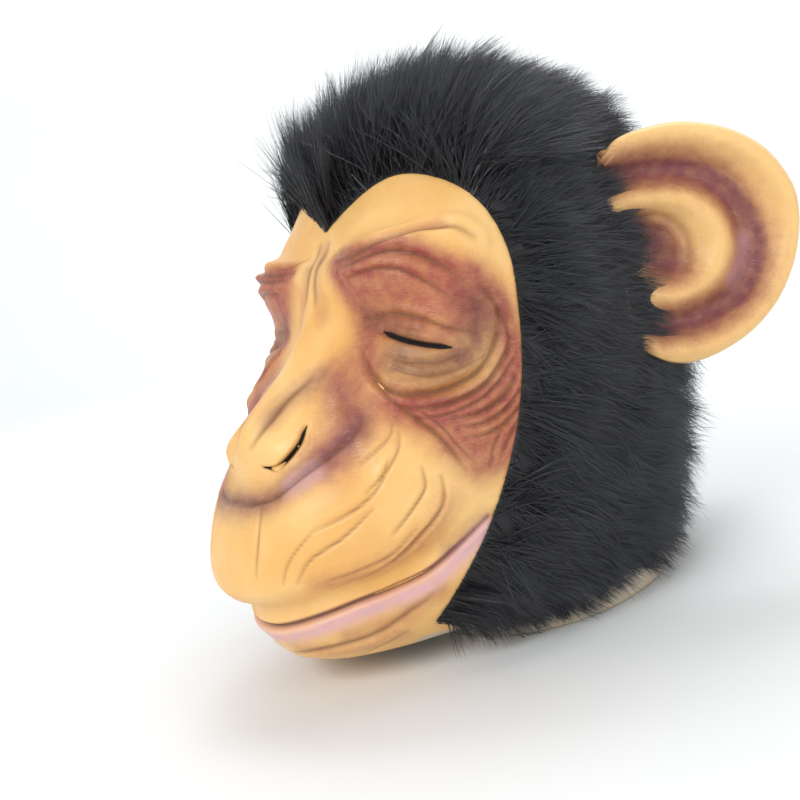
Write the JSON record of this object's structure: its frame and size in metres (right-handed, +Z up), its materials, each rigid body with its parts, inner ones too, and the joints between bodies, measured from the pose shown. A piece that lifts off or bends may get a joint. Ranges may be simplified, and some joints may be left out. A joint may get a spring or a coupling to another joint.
{
  "type": "chimpanzee full-head costume mask",
  "caption": "Hollow latex full-head ape mask with a creased pale face, two big cupped ears and black fur, resting on its neck rim.",
  "frame": {"origin": "middle of the overall box, at the height of the flat neck rim the mask stands on", "axes": "-Y the way the face looks, +X the wearer's left, +Z up through the crown"},
  "size_m": [0.269, 0.2756, 0.2659],
  "materials": {
    "face_latex": "satin painted latex",
    "ear_latex": "satin painted latex",
    "black_fur": "glossy long pile"
  },
  "bodies": {
    "root": {"latex_head": "face_latex", "ear_left": "ear_latex", "ear_right": "ear_latex", "crown_fur": "black_fur", "side_fur_left": "black_fur", "side_fur_right": "black_fur", "back_fur": "black_fur"}
  },
  "joints": []
}
